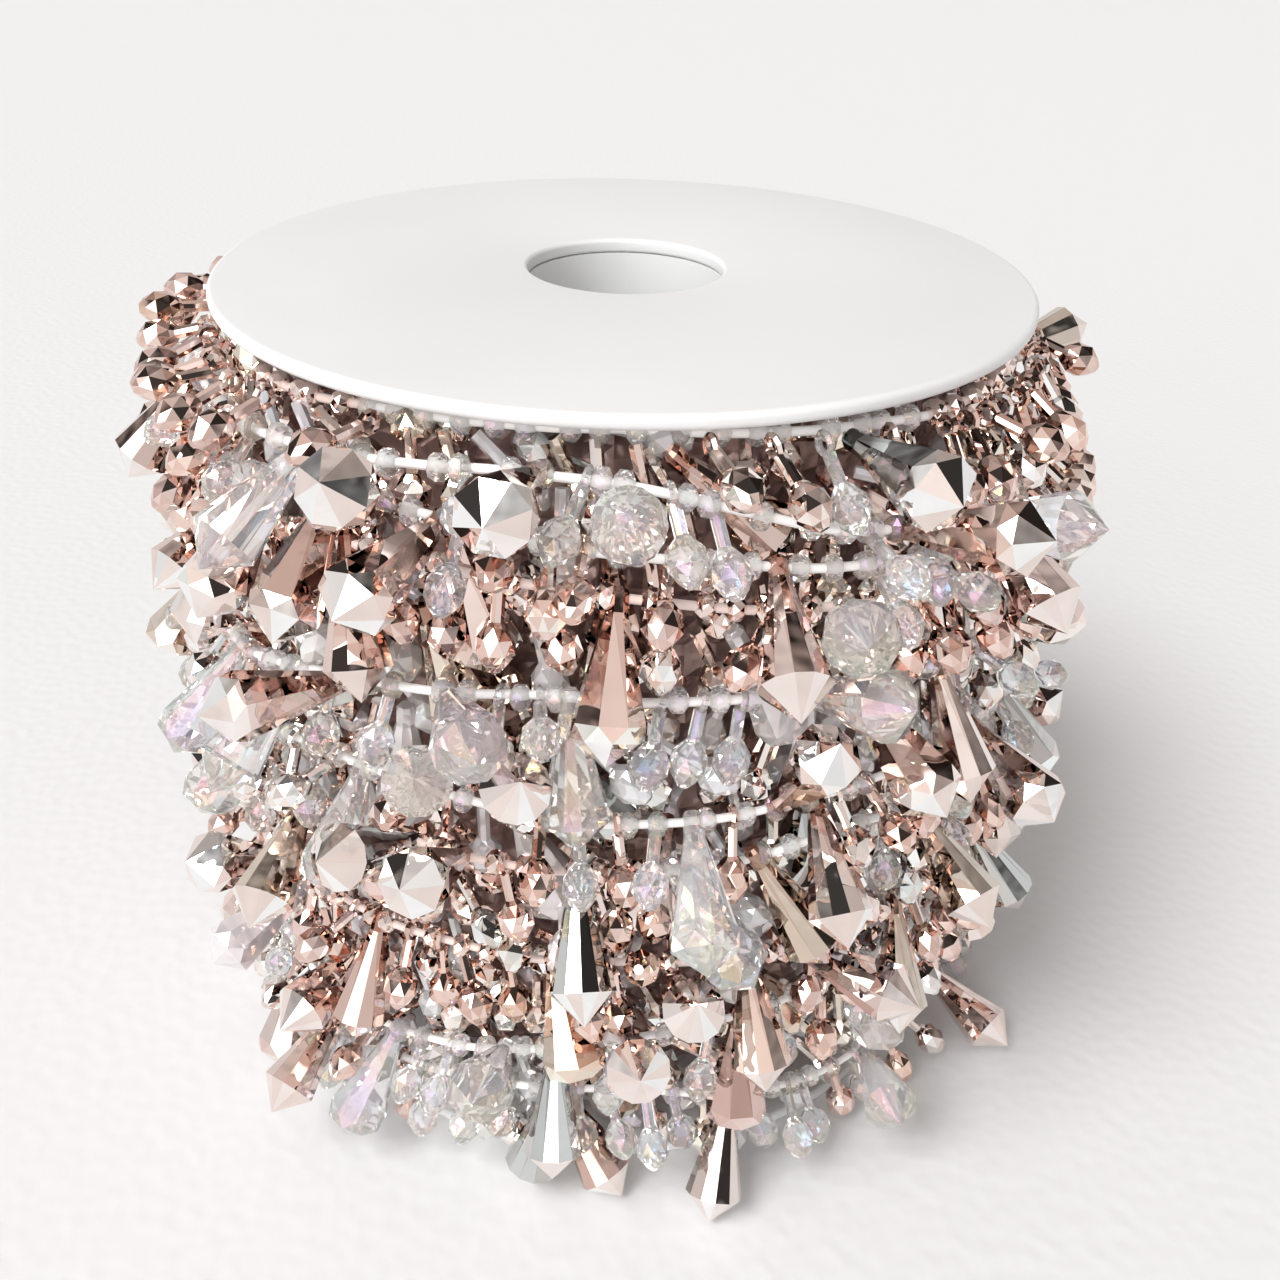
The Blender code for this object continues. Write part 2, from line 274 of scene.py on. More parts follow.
def turn_knots():
    """Heights of the strand against turns made, where 0 is the top turn at the front."""
    knots = [(-0.5, START_HEIGHT)]
    for turn, heights in enumerate(TURN_HEIGHTS):
        for angle, height in zip(CROSSING_ANGLES, heights):
            knots.append((turn + angle / 360, height))
    knots.append((len(TURN_HEIGHTS) - 0.5, END_HEIGHT))
    return knots


TURN_KNOTS = turn_knots()


def strand_height(turn):
    return smooth_value(TURN_KNOTS, turn)


def strand_radius(turn):
    return smooth_value(BED_OUTLINE, strand_height(turn)) + STRAND_LIFT


def axes_at(turn):
    """Outward and rightward directions where the strand has made so many turns."""
    angle = 2 * math.pi * turn
    outward = Vector((math.sin(angle), -math.cos(angle), 0))
    rightward = Vector((math.cos(angle), math.sin(angle), 0))
    return outward, rightward


def strand_point(turn):
    point = axes_at(turn)[0] * strand_radius(turn)
    point.z = strand_height(turn)
    return point


def drop_direction(turn, tilt, lean):
    """Unit vector along a drop, from its tilt out from straight down and its lean to the right."""
    outward, rightward = axes_at(turn)
    tilt, lean = math.radians(tilt), math.radians(lean)
    hanging = outward * math.sin(tilt) - Vector((0, 0, 1)) * math.cos(tilt)
    return hanging * math.cos(lean) + rightward * math.sin(lean)


def reaching_tilt(turn):
    """Tilt above level at which a large drop's tip comes to REACH along the nearest axis."""
    outward = axes_at(turn)[0]
    radius = REACH / max(abs(outward.x), abs(outward.y))
    return 180 - math.degrees(math.asin((radius - strand_radius(turn)) / LARGE_LENGTH))


def drop_length(drop):
    return LARGE_LENGTH if drop["large"] else SMALL_LENGTH


def mass_reach(turn):
    """How far out the tips come beside this place on the strand: less towards the top."""
    share = max(strand_height(turn) - TAPER_FROM, 0) / (SPOOL_HEIGHT - TAPER_FROM)
    return MASS_REACH + (TOP_REACH - MASS_REACH) * share


class Room:
    """Balls of space taken by the strand and by the drops placed so far."""

    def __init__(self):
        spacing = 0.01
        turns = np.arange(-0.5, len(TURN_HEIGHTS) - 0.5 + spacing / 2, spacing)
        self.centres = [tuple(strand_point(turn)) for turn in turns]
        self.radii = [STRAND_WIDTH / 2] * len(turns)

    def balls_of(self, drop):
        balls = LARGE_BALLS if drop["large"] else SMALL_BALLS
        length = drop_length(drop)
        root = strand_point(drop["turn"])
        return [(root + drop["direction"] * length * place, radius) for place, radius in balls]

    def is_clear(self, drop):
        centres, radii = np.array(self.centres), np.array(self.radii)
        tip = strand_point(drop["turn"]) + drop["direction"] * drop_length(drop)
        if max(abs(tip.x), abs(tip.y)) > REACH - CLEARANCE:
            return False
        if math.hypot(tip.x, tip.y) > drop["reach"]:
            return False
        if not CLEARANCE < tip.z < SPOOL_HEIGHT - CLEARANCE:
            return False
        for centre, radius in self.balls_of(drop):
            out = math.hypot(centre.x, centre.y)
            if not radius + CLEARANCE < centre.z < SPOOL_HEIGHT - radius - CLEARANCE:
                return False
            bed = smooth_value(BED_OUTLINE, min(max(centre.z, BED_OUTLINE[0][0]), BED_OUTLINE[-1][0]))
            if out - radius < bed + BED_RISE + BED_GAP:
                return False
            beside_flange = FLANGE_THICKNESS + CLEARANCE + radius
            near_end = not beside_flange < centre.z < SPOOL_HEIGHT - beside_flange
            if near_end and out - radius < FLANGE_RADIUS + CLEARANCE:
                return False
            apart = np.linalg.norm(centres - np.array(centre), axis=1) - radii - radius
            if apart.min() < DROP_GAP:
                return False
        return True

    def take(self, drop):
        for centre, radius in self.balls_of(drop):
            self.centres.append(tuple(centre))
            self.radii.append(radius)


def drawn_direction(rng, turn, large, attempt):
    """A hanging direction in the first tries, and any outward one after them."""
    if attempt < TRIES / 3:
        tilt = rng.uniform(8, 46) if large else rng.uniform(12, 50)
    else:
        tilt = rng.uniform(30, 135)
    return drop_direction(turn, tilt, rng.gauss(0, 15))


def nudged_direction(rng, turn, tilt, lean, attempt):
    """A drop's own direction in the first try, and one ever further from it in the next ones."""
    spread = NUDGE * attempt / TRIES
    return drop_direction(turn, tilt + rng.gauss(0, spread), lean + rng.gauss(0, spread))


def add_first_clear(room, drops, turn, large, reach, directions, finish=None):
    """Adds a drop along the first of these directions that has room for it."""
    for direction in directions:
        drop = {"turn": turn, "large": large, "direction": direction, "reach": reach, "finish": finish}
        if room.is_clear(drop):
            room.take(drop)
            drops.append(drop)
            return


def layout():
    """All drops in order along the strand: those listed, then large ones, then small ones."""
    rng = random.Random(LAYOUT_SEED)
    room = Room()
    drops = []
    for turn, angle in REACHING_DROPS:
        place = turn + angle / 360
        direction = drop_direction(place, reaching_tilt(place), 0)
        drops.append({"turn": place, "large": True, "direction": direction, "finish": "rose"})
        room.take(drops[-1])
    for turn, angle, tilt, lean, finish in SHOWN_DROPS:
        place = turn + angle / 360
        tried = (nudged_direction(rng, place, tilt, lean, attempt) for attempt in range(TRIES))
        add_first_clear(room, drops, place, True, SHOWN_REACH, tried, finish)
    spacing = 1 / DROPS_PER_TURN
    places = [-0.5 + spacing * (i + 0.5) for i in range(DROPS_PER_TURN * len(TURN_HEIGHTS))]
    for large, stations in ((True, places[::2]), (False, places)):
        for place in stations:
            if min(abs(place - drop["turn"]) for drop in drops) < spacing * 0.55:
                continue
            tried = (drawn_direction(rng, place, large, attempt) for attempt in range(TRIES))
            add_first_clear(room, drops, place, large, mass_reach(place), tried)
    return sorted(drops, key=lambda drop: drop["turn"])


def drop_axes(turn, along):
    """Across, up and along directions of a drop, as rows."""
    sideways = axes_at(turn)[1]
    across = (sideways - along * sideways.dot(along)).normalized()
    return np.array((across, along.cross(across), along))


class Space:
    """Balls of space already taken, kept in cubes so that a bead is tested against its neighbours only."""

    def __init__(self, centres, radii):
        self.cubes = {}
        for centre, radius in zip(centres, radii):
            self.add(centre, radius)

    def cube_of(self, centre):
        return tuple(int(math.floor(value / SPACE_CUBE)) for value in centre)

    def add(self, centre, radius):
        self.cubes.setdefault(self.cube_of(centre), []).append((*centre, radius))

    def is_free(self, centre, radius, gap):
        i, j, k = self.cube_of(centre)
        for di in (-1, 0, 1):
            for dj in (-1, 0, 1):
                for dk in (-1, 0, 1):
                    for x, y, z, other in self.cubes.get((i + di, j + dj, k + dk), ()):
                        apart = (x - centre[0]) ** 2 + (y - centre[1]) ** 2 + (z - centre[2]) ** 2
                        if apart < (radius + other + gap) ** 2:
                            return False
        return True


def outline_at(height):
    low, high = BED_OUTLINE[0][0], BED_OUTLINE[-1][0]
    return smooth_value(BED_OUTLINE, min(max(height, low), high))


def is_inside(centre, radius, depth):
    """Whether a ball keeps out of the core, the flanges and the space beyond the tips."""
    out = math.hypot(centre[0], centre[1])
    if out - radius < outline_at(centre[2]) - depth:
        return False
    if max(abs(centre[0]), abs(centre[1])) + radius > REACH:
        return False
    beside = FLANGE_THICKNESS + radius + 0.0001
    if out - radius < FLANGE_RADIUS + CLEARANCE:
        return beside < centre[2] < SPOOL_HEIGHT - beside
    return radius < centre[2] < SPOOL_HEIGHT - radius - 0.002


def try_bead(space, root, direction, length, balls, depth, gap):
    """Takes the bead's space and says yes where it is free."""
    places = [(root + direction * length * place, radius) for place, radius in balls]
    for centre, radius in places:
        if not is_inside(centre, radius, depth) or not space.is_free(centre, radius, gap):
            return False
    for centre, radius in places:
        space.add(centre, radius)
    return True


def turned(profile, sides):
    """Points and triangles of a faceted body: rows of height, radius and half steps of turn."""
    points, rows, faces = [], [], []
    for z, radius, half in profile:
        start = len(points)
        if radius == 0:
            points.append((0, 0, z))
            rows.append([start] * sides)
            continue
        for i in range(sides):
            angle = 2 * math.pi * (i + half / 2) / sides
            points.append((radius * math.cos(angle), radius * math.sin(angle), z))
        rows.append(list(range(start, start + sides)))
    for (low, high), (a, b) in zip(zip(rows, rows[1:]), zip(profile, profile[1:])):
        lead = (b[2] - a[2]) % 2
        for i in range(sides):
            j = (i + 1) % sides
            if lead and a[2] > b[2]:
                faces += [(low[i], high[j], high[i]), (low[i], low[j], high[j])]
            else:
                faces += [(low[i], low[j], high[i]), (low[j], high[j], high[i])]
    first, last = rows[0], rows[-1]
    for i in range(1, sides - 1):
        faces.append((first[0], first[i + 1], first[i]))
        faces.append((last[0], last[i], last[i + 1]))
    faces = [face for face in faces if len(set(face)) == 3]
    return np.array(points, float), np.array(faces, int)


def looped(major, minor, around, across):
    """Points and triangles of an eye whose hole runs along X."""
    points, faces = [], []
    for i in range(around):
        a = 2 * math.pi * i / around
        for j in range(across):
            b = 2 * math.pi * j / across
            radius = major + minor * math.cos(b)
            points.append((minor * math.sin(b), radius * math.sin(a), -radius * math.cos(a)))
            k, m = (i + 1) % around, (j + 1) % across
            corners = (i * across + j, k * across + j, k * across + m, i * across + m)
            faces.append((corners[0], corners[1], corners[2]))
            faces.append((corners[0], corners[2], corners[3]))
    return np.array(points, float), np.array(faces, int)


def joined(*shapes):
    points, faces, count = [], [], 0
    for shape_points, shape_faces in shapes:
        points.append(shape_points)
        faces.append(shape_faces + count)
        count += len(shape_points)
    return np.concatenate(points), np.concatenate(faces)


class Heap:
    """Many copies of small shapes, gathered into one mesh with a tint on each facet."""

    def __init__(self):
        self.points, self.faces, self.tints, self.count = [], [], [], 0

    def add(self, shape, origin, axes, tint, neck=NO_SHADE, tip=None, spread=0.0):
        """Adds a copy. Each facet has its own tint, with painted shade towards the neck and a painted
        highlight at the tip.
        """
        points, faces = shape
        self.points.append(points @ axes + np.array(origin))
        self.faces.append(faces + self.count)
        self.count += len(points)
        corners = points[faces]
        places = corners.mean(1)[:, 2:] / LARGE_LENGTH
        # Painted shade: facets darken from the girdle down to the neck
        shading = np.clip(places / GIRDLE_PLACE, 0, 1)
        tints = np.array(tint) * (np.array(neck) * (1 - shading) + shading)
        # Painted highlight: facets past the girdle pale towards the tip's near white
        if tip:
            ending = np.clip((places - GIRDLE_PLACE) * 12, 0, 1)
            tints = tints * (1 - ending) + np.array(tip) * ending
        normals = np.cross(corners[:, 1] - corners[:, 0], corners[:, 2] - corners[:, 0])
        normals /= np.linalg.norm(normals, axis=1, keepdims=True)
        tints *= 1 + np.array(spread) * np.sin(normals @ np.array(FACET_MIX))[:, None]
        tints = np.clip(np.concatenate((tints, np.ones((len(faces), 1))), 1), 0, 1)
        self.tints.append(np.repeat(tints, 3, axis=0))

    def piece(self, name, finish, node, slot, smooth=False):
        mesh = bpy.data.meshes.new(name)
        points, faces = np.concatenate(self.points), np.concatenate(self.faces)
        mesh.vertices.add(len(points))
        mesh.vertices.foreach_set("co", points.ravel())
        mesh.loops.add(faces.size)
        mesh.loops.foreach_set("vertex_index", faces.ravel())
        mesh.polygons.add(len(faces))
        mesh.polygons.foreach_set("loop_start", np.arange(0, faces.size, 3))
        mesh.update(calc_edges=True)
        tints = mesh.attributes.new("tint", "FLOAT_COLOR", "CORNER")
        tints.data.foreach_set("color", np.concatenate(self.tints).ravel())
        mesh.materials.append(finish)
        if smooth:
            mesh.shade_smooth()
        else:
            mesh.shade_flat()
        return place_piece(name, mesh, node)


def place_piece(name, mesh, node):
    obj = bpy.data.objects.new(name, mesh)
    bpy.context.scene.collection.objects.link(obj)
    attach(obj, "root")
    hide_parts(node)
    return obj


def large_shape(sides, girdle, zigzag, tip_ring=None):
    """A long drop: a bored neck, a cone that widens to its girdle, and a pointed end."""
    place = GIRDLE_PLACE * LARGE_LENGTH
    rows = [(-0.0010, 0.0007, 0), (-0.0005, 0.0010, 0), (0.0012, 0.0010, 0)]
    if zigzag:
        rows += [(place - 0.0006, girdle, 0), (place + 0.0008, girdle * 0.97, 1)]
    else:
        rows += [(place, girdle, 0)]
    if tip_ring:
        rows += [(*tip_ring, rows[-1][2] + 1)]
    rows.append((LARGE_LENGTH, 0, 0))
    return turned(rows, sides)


def round_shape(sides):
    """A clear bulb with its narrow neck."""
    rows = [(-0.0010, 0.0007, 0), (0.0, 0.0010, 0), (0.0030, 0.0012, 0), (0.0060, 0.0020, 0)]
    rows += [(0.0085, 0.0027, 0), (0.0105, 0.0030, 0), (0.0122, 0.0027, 0), (0.0134, 0.0018, 0)]
    rows += [(0.0142, 0.0007, 0), (0.0144, 0, 0)]
    return turned(rows, sides)


def small_shape(sides, eyed):
    """A small drop: a thin stem and a faceted ball, with an eye on the line if it is eyed."""
    start = 0.0009 if eyed else -0.0006
    rows = [(start, 0.00062, 0), (0.0037, 0.00062, 0), (0.0041, 0.0010, 0), (0.0051, 0.0017, 1)]
    rows += [(0.0065, 0.0018, 2), (0.0076, 0.0011, 3), (0.0082, 0.0005, 4)]
    ball = turned(rows, sides)
    return joined(looped(0.00095, 0.00034, 10, 5), ball) if eyed else ball


def roundel_shape():
    rows = [(-0.0009, 0.0006, 0), (-0.0005, 0.0012, 1), (0, 0.0013, 2), (0.0005, 0.0012, 3)]
    return turned(rows + [(0.0009, 0.0006, 4)], 8)


def finish_of_line(turn):
    """The finish of the strand's own line, which changes along the garland."""
    return "rose" if any(start < turn < end for start, end in ROSE_STRETCHES) else "clear"


def drawn_small_finish(rng, turn):
    """The finish of a small drop: as its stretch of the line, and mixed where that is neither."""
    if finish_of_line(turn) == "rose":
        return "copper" if rng.random() < 0.9 else "pale"
    if any(start < turn < end for start, end in CLEAR_STRETCHES):
        return "clear" if rng.random() < 0.9 else "copper"
    if turn < 2.5:
        return rng.choice(("clear", "copper", "copper", "rose"))
    return rng.choice(("clear", "clear", "copper", "pale"))


def tint_for(rng, finish):
    colour = TINTS[finish]
    shade = rng.uniform(0.9, 1.05)
    warm = rng.gauss(0, 0.012)
    return (colour[0] * shade + warm, colour[1] * shade, colour[2] * shade - warm)


def kind_of(finish):
    return "clear" if finish in CLEAR_FINISHES else "rose"


def spun(axes, angle):
    """The same axes turned round their third row."""
    c, s = math.cos(angle), math.sin(angle)
    return np.array((axes[0] * c + axes[1] * s, axes[1] * c - axes[0] * s, axes[2]))


def drawn_finish(rng, clear_share):
    if rng.random() < clear_share:
        return rng.choice(("clear", "clear", "blue", "lilac"))
    return rng.choice(("rose", "rose", "copper", "pale", "pale", "dark", "brass"))


def add_large(heaps, rng, shapes, root, turn, direction, finish, layer):
    kind = kind_of(finish)
    shape = shapes["bulb" if finish == "bulb" else rng.choice(("radial", "zigzag"))]
    axes = spun(drop_axes(turn, direction), rng.uniform(0, 6.28))
    if kind == "clear":
        heaps[layer, kind].add(shape, root, axes, tint_for(rng, finish))
        return
    # Plated drops take painted shade towards the neck and a painted highlight at the tip
    neck = DARK_NECK_SHADE if finish == "dark" else NECK_SHADE
    heaps[layer, kind].add(shape, root, axes, tint_for(rng, finish), neck, TIP_PAINTED_HIGHLIGHT, FACET_SPREAD)


def add_small(heaps, rng, shapes, root, turn, direction, finish, layer):
    kind = kind_of(finish)
    shape = shapes["small"] if layer == "outer" else shapes["plain_small"]
    axes = drop_axes(turn, direction)
    spread = FACET_SPREAD if kind == "rose" else 0
    heaps[layer, kind].add(shape, root, axes, tint_for(rng, finish), spread=spread)


def bead_step(radius):
    """Share of a turn from one bead to the next, this far from the axis."""
    return BEAD_PITCH / (2 * math.pi * radius)


def dress_outer_drops(heaps, rng, shapes, space):
    """The drops of the solids' own layout, then small ones close along the strand between them."""
    drops = layout()
    for drop in drops:
        root = strand_point(drop["turn"])
        finish = drop["finish"] or drawn_finish(rng, CLEAR_SHARE)
        if not drop["large"]:
            finish = drawn_small_finish(rng, drop["turn"])
        add = add_large if drop["large"] else add_small
        add(heaps, rng, shapes, root, drop["turn"], drop["direction"], finish, "outer")
        balls = LARGE_BALLS if drop["large"] else SMALL_BALLS
        for place, radius in balls:
            space.add(root + drop["direction"] * drop_length(drop) * place, radius)
    step = bead_step(0.047)
    turns = np.arange(FIRST_TURN + step / 2, LAST_TURN, step)
    ends = np.array([drop["turn"] for drop in drops])
    for turn in turns:
        if np.abs(ends - turn).min() < step * 0.5:
            continue
        root = strand_point(turn)
        for attempt in range(OUTER_TRIES):
            reach = 5 + 6 * attempt
            direction = drop_direction(turn, rng.uniform(8, 20 + reach), rng.gauss(0, 8 + attempt))
            if try_bead(space, root, direction, SMALL_LENGTH, SMALL_BALLS, OUTER_DEPTH, 0.0):
                finish = drawn_small_finish(rng, turn)
                add_small(heaps, rng, shapes, root, turn, direction, finish, "outer")
                break


def inner_height(turn, share):
    """Height of a lower layer, this share of the way down to the next turn."""
    below = strand_height(min(turn + 1, LAST_TURN))
    return strand_height(turn) * (1 - share) + below * share


def inner_point(turn, share, lift):
    height = inner_height(turn, share)
    point = axes_at(turn)[0] * (outline_at(height) + lift)
    point.z = height
    return point


def dress_inner_layer(heaps, rng, shapes, space, share, lift, clear_share):
    """A lower layer of the winding: its beads lie flatter and show between the outer turns."""
    step = bead_step(0.044)
    for i, turn in enumerate(np.arange(FIRST_TURN, LAST_TURN, step)):
        root = inner_point(turn, share, lift)
        large = i % 4 == 0
        length, balls = (LARGE_LENGTH, LARGE_BALLS) if large else (SMALL_LENGTH, SMALL_BALLS)
        for attempt in range(INNER_TRIES):
            tilt = rng.uniform(-12, 20 + 6 * attempt)
            direction = drop_direction(turn, tilt, rng.gauss(0, 14 + 2 * attempt))
            if try_bead(space, root, direction, length, balls, CORE_DEPTH - 0.001, -INNER_OVERLAP):
                add = add_large if large else add_small
                add(heaps, rng, shapes, root, turn, direction, drawn_finish(rng, clear_share), "inner")
                break


def dress_filler(heaps, rng, shapes, space):
    """Beads of the deeper layers, lying any way in the hollows that are left."""
    for i in range(FILLER_TRIES):
        turn, height = rng.random(), rng.uniform(*FILLER_HEIGHTS)
        large = i % 3 == 0
        lift = rng.uniform(*FILLER_LIFTS)
        root = axes_at(turn)[0] * (outline_at(height) + lift) + Vector((0, 0, height))
        outward, rightward = axes_at(turn)
        spin = rng.uniform(0, 2 * math.pi)
        flat = rightward * math.cos(spin) + Vector((0, 0, math.sin(spin)))
        direction = (flat + outward * rng.uniform(*FILLER_RISE)).normalized()
        length, balls = (LARGE_LENGTH, LARGE_BALLS) if large else (SMALL_LENGTH, SMALL_BALLS)
        if try_bead(space, root, direction, length, balls, CORE_DEPTH - 0.0005, -FILLER_OVERLAP):
            add = add_large if large else add_small
            finish = drawn_finish(rng, FILLER_CLEAR_SHARE)
            add(heaps, rng, shapes, root, turn, direction, finish, "inner")


def line_point(turn):
    """A place on the line, which runs deeper than the strand under the top flange."""
    point = strand_point(turn)
    deeper = TOP_TURN_DEPTH * min(max((TOP_TURN_END - turn) / 0.1, 0), 1)
    return point - axes_at(turn)[0] * deeper


def line_tangent(turn):
    return (line_point(turn + 0.001) - line_point(turn - 0.001)).normalized()


def dress_line(heaps, rng, roundel):
    """The line as a thin tube, with a roundel between every two beads."""
    around, step = 6, 0.005
    turns = np.arange(FIRST_TURN, LAST_TURN, step)
    rings = {}
    for turn in turns:
        point, tangent = line_point(turn), line_tangent(turn)
        outward = axes_at(turn)[0]
        up = tangent.cross(outward).normalized()
        out = up.cross(tangent)
        wobble = LINE_WOBBLE * noise.noise_vector(point * 110)
        ring = [
            point + wobble + (out * math.cos(a) + up * math.sin(a)) * LINE_RADIUS
            for a in (2 * math.pi * i / around for i in range(around))
        ]
        rings[turn] = np.array(ring)
    index = np.arange(around)
    after = (index + 1) % around
    sides = np.concatenate(
        (
            np.stack((index, after, after + around), 1),
            np.stack((index, after + around, index + around), 1),
        )
    )
    for turn, follows in zip(turns, turns[1:]):
        finish = finish_of_line(turn)
        shape = (np.concatenate((rings[turn], rings[follows])), sides[:, ::-1])
        heaps["line", finish].add(shape, (0, 0, 0), np.eye(3), LINE_TINTS[finish])
    pitch = bead_step(0.046)
    for place in np.arange(FIRST_TURN + pitch, LAST_TURN - pitch, pitch):
        turn = place + rng.uniform(-0.3, 0.3) * pitch
        point, tangent = line_point(turn), line_tangent(turn)
        outward = axes_at(turn)[0]
        across = (outward - tangent * outward.dot(tangent)).normalized()
        axes = spun(np.array((across, tangent.cross(across), tangent)), rng.uniform(0, 1))
        finish = finish_of_line(turn)
        heaps["roundels", kind_of(finish)].add(roundel, point, axes, tint_for(rng, finish))


def shader_of(name):
    made = bpy.data.materials.new(name)
    made.use_nodes = True
    tree = made.node_tree
    return made, tree, tree.nodes["Principled BSDF"]


def bead_shader(name):
    """A shader for polished beads, with the quicker gloss, which is the same at so little roughness."""
    made, tree, shader = shader_of(name)
    shader.distribution = "GGX"
    return made, tree, shader


def noise_node(tree, scale, detail=2.0, roughness=0.5):
    where = tree.nodes.new("ShaderNodeTexCoord")
    texture = tree.nodes.new("ShaderNodeTexNoise")
    texture.inputs["Scale"].default_value = scale
    texture.inputs["Detail"].default_value = detail
    texture.inputs["Roughness"].default_value = roughness
    tree.links.new(where.outputs["Object"], texture.inputs["Vector"])
    return texture


def ranged(tree, source, low, high, start=0.0, end=1.0):
    """The source's values from start to end, spread from low to high."""
    spread = tree.nodes.new("ShaderNodeMapRange")
    spread.inputs["From Min"].default_value = start
    spread.inputs["From Max"].default_value = end
    spread.inputs["To Min"].default_value = low
    spread.inputs["To Max"].default_value = high
    tree.links.new(source, spread.inputs["Value"])
    return spread.outputs["Result"]


def two_tone(tree, source, low, high):
    """A colour from low to high as the source goes from 0 to 1."""
    ramp = tree.nodes.new("ShaderNodeValToRGB")
    ramp.color_ramp.elements[0].color = low
    ramp.color_ramp.elements[1].color = high
    tree.links.new(source, ramp.inputs["Fac"])
    return ramp.outputs["Color"]


def add_film(tree, shader, source, index, thinnest, thickest):
    """An iridescent film whose thickness, in nanometres, changes over the surface."""
    shader.inputs["Thin Film IOR"].default_value = index
    tree.links.new(ranged(tree, source, thinnest, thickest), shader.inputs["Thin Film Thickness"])


def add_bump(tree, shader, source, strength, distance):
    bump = tree.nodes.new("ShaderNodeBump")
    bump.inputs["Strength"].default_value = strength
    bump.inputs["Distance"].default_value = distance
    tree.links.new(source, bump.inputs["Height"])
    tree.links.new(bump.outputs["Normal"], shader.inputs["Normal"])


def add_tint(tree, shader, uneven, low, high):
    """The facet's tint, a little uneven over its surface: on plated drops it holds painted shade towards
    the neck and a painted highlight at the tip.
    """
    tint = tree.nodes.new("ShaderNodeAttribute")
    tint.attribute_name = "tint"
    mixed = tree.nodes.new("ShaderNodeMix")
    mixed.data_type = "RGBA"
    mixed.blend_type = "MULTIPLY"
    mixed.inputs["Factor"].default_value = 1.0
    tree.links.new(tint.outputs["Color"], mixed.inputs["A"])
    tree.links.new(ranged(tree, uneven, low, high), mixed.inputs["B"])
    tree.links.new(mixed.outputs["Result"], shader.inputs["Base Color"])


def plated_material():
    """Vacuum plating on moulded beads: bright, with faint smudges and moulding ripples."""
    made, tree, shader = bead_shader("rose_gold_plating")
    shader.inputs["Metallic"].default_value = 1.0
    smudge = noise_node(tree, 420, 0).outputs["Fac"]
    add_tint(tree, shader, smudge, 1.04, 0.92)
    tree.links.new(ranged(tree, smudge, 0.0, 0.4, 0.57), shader.inputs["Roughness"])
    ripple = noise_node(tree, 700, 0)
    add_bump(tree, shader, ripple.outputs["Fac"], 0.3, 0.00006)
    return made


def clear_material():
    """Clear acrylic with an iridescent film."""
    made, tree, shader = bead_shader("iridescent_acrylic")
    shader.inputs["Transmission Weight"].default_value = 0.80
    shader.inputs["IOR"].default_value = 1.49
    film = noise_node(tree, 160, 0).outputs["Fac"]
    add_tint(tree, shader, film, 0.97, 1.0)
    shader.inputs["Roughness"].default_value = 0
    add_film(tree, shader, film, 1.7, 230, 370)
    return made


def inner_clear_material():
    """The same acrylic where the beads behind it show only as a milky grey."""
    made, tree, shader = bead_shader("milky_acrylic")
    add_tint(tree, shader, noise_node(tree, 420, 1).outputs["Fac"], 0.62, 1.05)
    shader.inputs["Metallic"].default_value = 0.3
    shader.inputs["Roughness"].default_value = 0
    shader.inputs["IOR"].default_value = 1.6
    add_film(tree, shader, noise_node(tree, 160, 0).outputs["Fac"], 1.75, 250, 370)
    return made


def line_material():
    made, tree, shader = shader_of("line")
    add_tint(tree, shader, noise_node(tree, 1200, 1).outputs["Fac"], 0.9, 1.05)
    shader.inputs["Roughness"].default_value = 0.35
    # Painted light: a faint white glow keeps the line pale where it lies in the shade between the beads
    shader.inputs["Emission Color"].default_value = (1, 0.96, 0.94, 1)
    shader.inputs["Emission Strength"].default_value = 0.18
    fibre = noise_node(tree, 2500, 1)
    add_bump(tree, shader, fibre.outputs["Fac"], 0.3, 0.00005)
    return made


def core_material():
    """The deeper layers, painted dark as the beads deep in the hollows look in shadow."""
    made, tree, shader = shader_of("deep_layers")
    spots = noise_node(tree, 420, 1, 0.6)
    # Painted shade: spots from near black to a dim rose brown, as the beads in shadow deep in the hollows
    colour = two_tone(tree, spots.outputs["Fac"], (0.11, 0.065, 0.060, 1), (0.60, 0.42, 0.38, 1))
    tree.links.new(colour, shader.inputs["Base Color"])
    shader.inputs["Metallic"].default_value = 0.7
    shader.inputs["Roughness"].default_value = 0.3
    add_bump(tree, shader, spots.outputs["Fac"], 0.8, 0.0006)
    return made


def plastic_material():
    """Moulded polystyrene: off-white, with a faint grain and a few dull patches."""
    made, tree, shader = shader_of("white_plastic")
    cloud = noise_node(tree, 45, 1)
    colour = two_tone(tree, cloud.outputs["Fac"], (0.78, 0.785, 0.785, 1), (0.83, 0.835, 0.835, 1))
    tree.links.new(colour, shader.inputs["Base Color"])
    dull = noise_node(tree, 120, 0)
    tree.links.new(ranged(tree, dull.outputs["Fac"], 0.34, 0.50), shader.inputs["Roughness"])
    grain = noise_node(tree, 1800, 0)
    add_bump(tree, shader, grain.outputs["Fac"], 0.15, 0.00006)
    return made


def mesh_of(bm, name, finish):
    mesh = bpy.data.meshes.new(name)
    bm.to_mesh(mesh)
    bm.free()
    mesh.materials.append(finish)
    return mesh


def ring_mesh(name, sections, finish):
    """A closed ring through sections that are points in order round the ring's own thickness."""
    bm = bmesh.new()
    rings = [[bm.verts.new(point) for point in section] for section in sections]
    for here, there in zip(rings, rings[1:] + rings[:1]):
        for j in range(len(here)):
            k = (j + 1) % len(here)
            bm.faces.new((here[j], there[j], there[k], here[k]))
    bmesh.ops.recalc_face_normals(bm, faces=bm.faces)
    return mesh_of(bm, name, finish)


